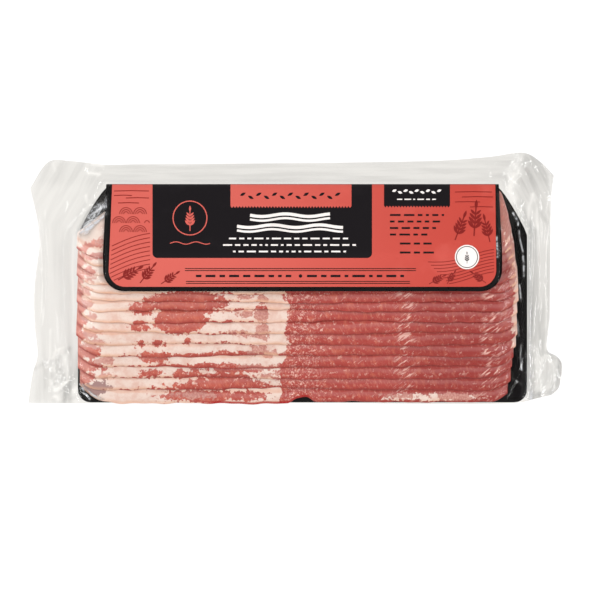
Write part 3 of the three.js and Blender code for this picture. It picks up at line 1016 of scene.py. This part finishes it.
CREASE_RISE = 0.48  # a crease's height over its half width, which sets how wide its glint is
CREASES = [  # from and to, in pixels, then half width in mm
    # right side: long lines beside the seal
    ((531, 194), (530, 330), 1.3), ((541, 188), (539, 350), 1.2), ((535.5, 260), (534, 396), 1.0),
    ((546, 176), (546, 345), 0.9), ((540, 330), (539, 392), 1.6),
    # left side: faint and long
    ((44, 200), (46, 330), 1.5), ((70, 225), (73, 345), 1.2), ((58, 300), (60, 392), 1.4),
    # back side
    ((95, 173), (330, 174), 1.2), ((260, 178), (500, 177.5), 1.0), ((84, 171), (104, 174), 1.5),
    ((330, 168), (520, 164), 1.6), ((92, 165), (112, 168), 1.2),
    # lower left, crumpled
    ((60, 345), (84, 398), 1.5), ((42, 352), (68, 396), 1.4), ((35, 375), (82, 402), 1.6),
    ((50, 340), (78, 372), 1.1), ((52, 378), (62, 386), 1.0), ((64, 372), (58, 398), 1.2),
    ((72, 385), (80, 396), 0.9),
    # upper corners, fanning out
    ((112, 186), (58, 166), 1.6), ((104, 200), (62, 196), 1.3), ((88, 205), (84, 228), 1.1),
    ((498, 186), (523, 157), 1.8), ((506, 194), (526, 172), 1.9), ((514, 206), (528, 200), 1.2),
    ((485, 183), (500, 158), 1.3), ((519, 204), (527, 242), 1.3), ((540, 160), (551, 182), 1.2),
    # on the black card, where the film bridges from the rashers to the board's edge
    ((83, 232), (103, 208), 1.3), ((88, 227), (106, 204), 0.9), ((91, 215), (100, 201), 0.8),
    ((500, 187), (519, 220), 0.8), ((515, 210), (524, 243), 0.9), ((522, 245), (523, 332), 0.8),
    ((518, 328), (517, 394), 0.8), ((80, 378), (99, 403), 0.9), ((85, 373), (109, 403), 0.8),
    # the curled tab
    ((528, 398), (556, 362), 2.0), ((524, 392), (548, 352), 1.4), ((540, 360), (552, 386), 1.3),
    ((545, 372), (538, 394), 1.1),
]


PUCKERS = 46
BUNCHES = ((66, 377, 13), (56, 362, 9), (525, 170, 11), (546, 374, 9))  # column, row and reach


def creases(x, y, bridge):
    """All the creases together. Film that lies on something has none."""
    total = np.zeros_like(x)
    for start, end, width in CREASES:
        total += crease(x, y, start, end, width, CREASE_RISE * width)
    draw = np.random.default_rng(12)
    for _ in range(PUCKERS):
        # short puckers that run with the seal
        side = draw.choice(["left", "right", "back", "back"])
        turn, reach = draw.normal(0, 0.3), draw.uniform(5, 13)
        if side == "back":
            cx, cy = draw.uniform(90, 510), draw.uniform(164, 181)
            dx, dy = reach * math.cos(turn), 0.4 * reach * math.sin(turn)
        else:
            cx = draw.uniform(38, 76) if side == "left" else draw.uniform(528, 548)
            cy = draw.uniform(190, 392)
            dx, dy = 0.5 * reach * math.sin(turn), reach * math.cos(turn)
        wide = draw.uniform(0.6, 1.2)
        total += crease(x, y, (cx - dx, cy - dy), (cx + dx, cy + dy), wide,
                        draw.uniform(0.15, 0.4) * wide)
    for column, row, reach in BUNCHES:
        for _ in range(12):
            cx, cy = column + draw.normal(0, reach / 2), row + draw.normal(0, reach / 1.6)
            turn, long = draw.uniform(0, math.pi), draw.uniform(3, 8)
            dx, dy = long * math.cos(turn), long * math.sin(turn)
            wide = draw.uniform(0.7, 1.1)
            total += crease(x, y, (cx - dx, cy - dy), (cx + dx, cy + dy), wide,
                            draw.uniform(0.45, 0.75) * wide)
    return total * np.maximum(soft_step(outside(x, y), 0.3, 3), bridge)


def sample(raster, x, y):
    """Values of a raster between its points."""
    fx = np.clip((x - raster_x[0]) / STEP, 0, len(raster_x) - 1.001)
    fy = np.clip((y - raster_y[0]) / STEP, 0, len(raster_y) - 1.001)
    i, j = fx.astype(int), fy.astype(int)
    a, b = fx - i, fy - j
    return ((raster[j, i] * (1 - a) + raster[j, i + 1] * a) * (1 - b)
            + (raster[j + 1, i] * (1 - a) + raster[j + 1, i + 1] * a) * b)


# %% [markdown]
# Film is denser where it is folded or crumpled. Glints and highlights are painted into the film
# too: a line made far denser turns milky, a painted glint, and a line made clearer lets the pale
# floor through, a painted highlight. These places show in the picture as grey or milky lines and as
# bright ones, and they are read off it one by one.

# %% Folds, painted glints and painted highlights
# a line dense enough turns milky, a painted glint; a line of negative density is clearer, so the
# pale floor shows through as a painted highlight
PAINTED_GLINTS_AND_FOLDS = [  # a line in pixels, its half width in mm, and how much denser the film is there
    # painted silvery reflection of the crumple over the black card's upper left corner
    ([(84, 229), (91, 218), (99, 208)], 3.4, 13.0), ([(87, 230), (97, 222), (106, 214)], 1.0, 9.0),
    ([(96, 208), (105, 207)], 1.0, 9.0), ([(106, 196), (105.5, 206)], 0.8, 7.0),
    # painted glints of crinkles over the card's lower left corner
    ([(80, 384), (84, 392), (90, 399)], 0.6, 14.0), ([(84, 387), (93, 395), (103, 400)], 0.6, 13.0),
    # the black strip at the right: clinging film, with painted glints on its sharp folds
    ([(519, 225), (520, 340), (517, 396)], 3.0, -0.8),
    ([(513, 213), (518, 221), (518, 225)], 0.55, 16.0),
    ([(519, 231), (520, 240), (523, 252)], 0.5, 13.0), ([(523, 256), (524, 276)], 0.55, 14.0),
    ([(519.5, 285), (521, 300)], 0.55, 14.0), ([(517, 320), (519, 336)], 0.6, 9.0),
    ([(521, 345), (520.5, 356), (522, 370)], 0.55, 11.0),
    ([(512, 378), (521, 384)], 0.6, 5.0),
    # the label's right edge, where the film bends down: a painted reflection and a painted glint
    ([(499, 194), (500.5, 250)], 1.1, 2.2), ([(496.5, 237), (497.5, 257)], 0.6, 13.0),
    # the upper right of the flange: painted highlights, as clearer film, on folds that arch round
    # the corner
    ([(517, 174), (512, 181), (509, 190), (514, 199)], 2.2, -2.0),
    ([(528, 229), (529, 208), (533, 194)], 0.9, -2.0),
    ([(533, 194), (537, 208), (537, 228)], 0.7, -1.6),
    ([(549, 177), (552, 188)], 0.8, -1.5), ([(523, 154), (520, 160)], 1.2, -1.5),
    # the upper left: painted highlights, as clearer film
    ([(88, 172.5), (100, 174.5)], 0.7, -1.6), ([(92, 164), (103, 166)], 0.8, -1.6),
    ([(53, 163), (55, 170)], 0.7, -1.0), ([(86, 195), (87, 202)], 0.6, -1.2),
    ([(74, 236), (72, 262), (73, 330)], 1.0, -0.8),
    # the crumpled lower left: painted highlights as clearer film, and denser folds
    ([(50, 330), (50, 392)], 0.5, -1.2), ([(52, 359), (57, 350), (64, 347)], 0.6, -1.5),
    ([(63, 353), (66, 363), (68, 381)], 1.7, -2.2), ([(53, 366), (56, 376)], 0.7, -1.8),
    ([(51, 381), (55, 390)], 1.1, -2.4), ([(57, 390), (66, 382)], 1.3, -2.4),
    ([(55, 396), (59, 399)], 1.1, -2.4), ([(74, 391), (79, 386)], 1.2, -2.6),
    ([(58, 362), (62, 354), (69, 349)], 1.2, 1.8), ([(59, 366), (66, 380)], 0.5, 1.6),
    ([(55, 384), (61, 379), (67, 380)], 0.45, 1.8), ([(60, 392), (66, 386), (70, 381)], 0.5, 1.6),
    ([(63, 401), (69, 387), (76, 373), (78, 354)], 1.5, 2.0), ([(34, 369), (48, 361)], 1.2, 1.2),
    ([(47, 362), (46, 388)], 0.9, 0.8), ([(70, 399), (77, 397)], 0.8, 1.2),
    # the right side and the curled tab: painted highlights as clearer film, and denser folds
    ([(532, 240), (533, 300), (532, 345), (531.5, 390)], 0.6, -1.7),
    ([(528.5, 262), (528.5, 345), (527, 385), (524, 395)], 1.1, 1.5),
    ([(546, 240), (546.5, 352), (541, 391)], 0.5, -1.6), ([(538, 360), (537, 388)], 2.2, -1.8),
    ([(551, 364), (552, 380), (547, 389)], 1.5, -1.5), ([(540, 345), (540, 310)], 1.6, 0.7),
    ([(548, 352), (560, 361), (557, 376), (553, 391), (530, 397)], 1.2, 1.9),
]


def skin_height(x, y):
    """Height of the relaxed skin."""
    return float(sample(skin, x, y))


def painted_glints_and_folds(x, y):
    """How much denser than its surroundings the film is, from all the lines together: folds,
    painted glints, and painted highlights where it is made clearer.
    """
    total = np.zeros_like(x)
    for line, width, dense in PAINTED_GLINTS_AND_FOLDS:
        spots = [raised_spot(*spot, 2.0, skin_height)[:2] for spot in line]
        share = np.zeros_like(x)
        for (ax, ay), (bx, by) in zip(spots, spots[1:]):
            square = (bx - ax) ** 2 + (by - ay) ** 2
            at = np.clip(((x - ax) * (bx - ax) + (y - ay) * (by - ay)) / square, 0, 1)
            off = np.hypot(x - ax - at * (bx - ax), y - ay - at * (by - ay))
            share = np.maximum(share, np.exp(-(off / width) ** 2))
        total += dense * share
    return total


# %% The two sheets
def skirt_fold_and_painted_highlight(away):
    """A painted highlight, as clearer film, in a narrow line where the left skirt meets the card;
    dark further out, where it folds back.
    """
    return 0.5 * np.exp(-((away - 4.8) / 0.9) ** 2) - 0.75 * np.exp(-((away - 1.7) / 1.3) ** 2)


CLEAREST = -1.0  # the least slack, at which hardly any film shows
CRUMPLED = [  # middle column and row, reach in mm, and how much denser the film is there
    (66, 376, 12, 1.6), (524, 172, 14, 1.0), (545, 375, 12, 1.0), (60, 175, 14, 0.25),
]


def slackness(x, y, away, bridge):
    """How slack the film is: 0 where it clings, 1 where it hangs free, more where it is steep or
    folded. It also carries painted shade beside the contents, and painted glints and highlights
    along listed lines."""
    # the film stands steeper, so it looks denser, at the right; the narrow dense bands just beside
    # the card at the right and at the back are painted shade
    free = soft_step(away, 0, 2) * (
        1 - 0.25 * soft_step(-x, 90, 120) + 1.0 * soft_step(x, 112, 124)
        + 4.2 * soft_step(x, 118, 124) * soft_step(-away, -5.5, -1.5)
        + 1.8 * soft_step(y, 56, 60) * soft_step(-away, -2.6, 0.4)
        + 0.45 * soft_step(y, 56, 62) + 0.2 * soft_step(-y, 30, 50)
        + soft_step(-x, 110, 118) * skirt_fold_and_painted_highlight(away))
    for column, row, reach, dense in CRUMPLED:
        cx, cy = plan_spot(column, row, 2)
        free += dense * np.exp(-((x - cx) ** 2 + (y - cy) ** 2) / reach ** 2)
    return np.maximum(np.maximum(free, 0.2 * bridge) + painted_glints_and_folds(x, y), CLEAREST)


def film_shape(columns, rows, upper):
    """A bmesh of the upper or the lower sheet of film."""
    bm = bmesh.new()
    bmesh.ops.create_grid(bm, x_segments=columns, y_segments=rows, size=0.5)
    slack = bm.verts.layers.float.new("slack")
    draw = bm.verts.layers.float_vector.new("draw")
    u = np.array([v.co.x + 0.5 for v in bm.verts])
    v = np.array([v.co.y + 0.5 for v in bm.verts])
    places = sheet_places(u, v)
    x, y = places[:, 0], places[:, 1]
    away = outside(x, y)
    bridge = np.clip((sample(skin, x, y) - sample(floor_level, x, y)) / 1.5, 0, 1)
    if upper:
        z = sample(skin, x, y) + creases(x, y, bridge)
        rim = np.minimum.reduce([u, 1 - u, v, 1 - v]) < 1e-4
        z = np.where(rim, flange_rest(x, y) + 0.05, z)
    else:
        z = np.where(away < 1.5, 0.06, np.minimum(flange_rest(x, y), sample(skin, x, y) - 0.05))
    free = slackness(x, y, away, bridge)
    # streaks run along the nearest edge, and turn with it at the corners
    past_side, past_back = np.abs(x) - CARD_HALF, y - CARD_DEEP
    square = np.maximum(past_side, past_back)
    beside = np.sign(x) * (CARD_HALF + CARD_DEEP - y + square)
    run_of = np.where(past_back > past_side, x - square * np.clip(x / 40, -1, 1), beside)
    bm.verts.ensure_lookup_table()
    for i, vert in enumerate(bm.verts):
        vert.co = (x[i], y[i], z[i])
        vert[slack] = free[i]
        vert[draw] = (away[i], run_of[i], 0)
    bm.normal_update()
    bm.faces.ensure_lookup_table()
    if upper != (bm.faces[0].normal.z > 0):
        bmesh.ops.reverse_faces(bm, faces=bm.faces)
    return bm


# %% [markdown]
# ## Clear film
#
# The film is clear polyamide and polyethylene, blown thin and glossy. It is nearly invisible where
# it clings and shows as a faint grey where it is slack, by soft streaks and by bright lines where a
# crease catches a lamp. Where it is sharply folded it turns milky, in broken pieces, which paints
# in the glints of such folds. It is a mix of a clear shader and a glossy one; its index of
# refraction is set above the real 1.5, because only a part of the mix reflects.

# %% Clear film material
FOLDED = 3.0  # the slack past which a fold is sharp
CLING = 0.055  # the share of the film that shows where it clings


def clear_film(name):
    """Thin glossy clear film, with fine wrinkles and soft streaks."""
    material, tree = new_material(name)
    place = add(tree, "TexCoord", out="Object")
    slack = add(tree, "Attribute", out="Fac", attribute_name="slack")
    drawn = add(tree, "Attribute", out="Vector", attribute_name="draw")
    drawn = add(tree, "Mapping", {"Vector": drawn, "Scale": (0.3, 0.022, 1)})
    streak = add(tree, "TexNoise", {"Vector": drawn, "Scale": 1.0, "Detail": 3}, "Fac")
    fine, wide = [add(tree, "TexNoise", {"Vector": place, "Scale": scale, "Detail": detail,
                                         "Distortion": bent}, "Fac")
                  for scale, detail, bent in ((420, 3, 0.8), (110, 2, 1.2))]
    # a sharp fold turns milky in broken pieces, a painted glint
    plain = add(tree, "Math", (slack, FOLDED), operation="MINIMUM")
    folded = add(tree, "Math", (slack, plain), operation="SUBTRACT")
    broken = add(tree, "MapRange", (fine, 0.38, 0.6, 0.25, 1.25), **SMOOTH)
    slack = add(tree, "Math", (folded, broken, plain), operation="MULTIPLY_ADD")
    bump = add(tree, "Bump", {
        "Strength": add(tree, "MapRange", (slack, 0.9, 3.0, 0.3, 0.85), **SMOOTH),
        "Distance": 0.0006,
        "Height": add(tree, "Math", (fine, 0.35, wide), operation="MULTIPLY_ADD")})
    per_slack = add(tree, "MapRange", (streak, 0.35, 0.7, 0.038, 0.072), **SMOOTH)
    share = add(tree, "Math", (slack, per_slack, CLING), operation="MULTIPLY_ADD")
    # past a slack of 3.2 the film's colour turns milky pale: a painted glint of sharp folds
    skin = add(tree, "BsdfPrincipled", {
        "Base Color": layered(tree, "#3a3835", ("#cfd1d6", 1.0, (slack, 3.2, 8.5))),
        "Roughness": 0.12, "IOR": 2.8, "Normal": bump})
    clear = add(tree, "BsdfTransparent", ["#fdfcfa"])
    both = add(tree, "MixShader", (share, clear, skin))
    add(tree, "OutputMaterial", {"Surface": both})
    return material


FINE, COARSE = (450, 212), (150, 70)  # cells of 0.65 mm carry glints, and of 2 mm don't need to
film_material = clear_film("clear_barrier_film")
upper_film = finish_piece(film_shape(*FINE, True), "film_upper_sheet", film_material)
lower_film = finish_piece(film_shape(*COARSE, False), "film_lower_sheet", film_material)
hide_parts("pouch")
print("film faces:", len(upper_film.data.polygons), len(lower_film.data.polygons))

# %% [markdown]
# ## Floor and lamps
#
# The floor is a wide pale sheet. Large soft lamps stand low at the sides, where a crease
# of film turns enough to mirror them, and a broad weak light fills from all round, as in a
# studio with white walls.

# %% Floor, lamps and the surrounding light
FLOOR_HALF = 4.0  # m
FLOOR_GLOW, WALL_GLOW = 0.72, 0.44
floor_bm = bmesh.new()
bmesh.ops.create_grid(floor_bm, x_segments=1, y_segments=1, size=FLOOR_HALF)
floor_mesh = bpy.data.meshes.new("floor")
floor_bm.to_mesh(floor_mesh)
floor_bm.free()
floor = bpy.data.objects.new("floor", floor_mesh)
bpy.context.collection.objects.link(floor)
paper, tree = new_material("white_paper_sweep")
surface = add(tree, "BsdfPrincipled", {
    "Base Color": "#959595", "Roughness": 0.9,
    "Emission Color": "#ffffff", "Emission Strength": FLOOR_GLOW})
add(tree, "OutputMaterial", {"Surface": surface})
floor_mesh.materials.append(paper)


def lamp(name, place, size, power):
    """A soft rectangular lamp aimed at the pack. Its place is in metres, its power in watts."""
    data = bpy.data.lights.new(name, "AREA")
    data.shape = "RECTANGLE"
    data.size, data.size_y = size
    data.energy = power
    made = bpy.data.objects.new(name, data)
    made.location = place
    made.rotation_euler = (-Vector(place)).to_track_quat("-Z", "Y").to_euler()
    bpy.context.collection.objects.link(made)


lamp("strip_left", (-0.75, 0.0, 1.1), (1.3, 0.2), 6)
lamp("strip_right", (0.7, 0.0, 1.15), (1.3, 0.2), 6)
lamp("softbox_back_left", (-1.0, 0.75, 0.8), (0.3, 0.9), 5)
lamp("softbox_back_right", (1.0, 0.75, 0.85), (0.3, 0.9), 5)
lamp("softbox_front_left", (-0.9, -0.5, 0.9), (0.3, 0.6), 3.5)
lamp("softbox_front_right", (0.9, -0.5, 0.9), (0.3, 0.6), 3.5)
world = bpy.data.worlds.new("studio")
bpy.context.scene.world = world
world.use_nodes = True
background = world.node_tree.nodes["Background"]
background.inputs["Color"].default_value = linear("#ffffff")
background.inputs["Strength"].default_value = WALL_GLOW
bpy.context.scene.view_settings.view_transform = "Standard"
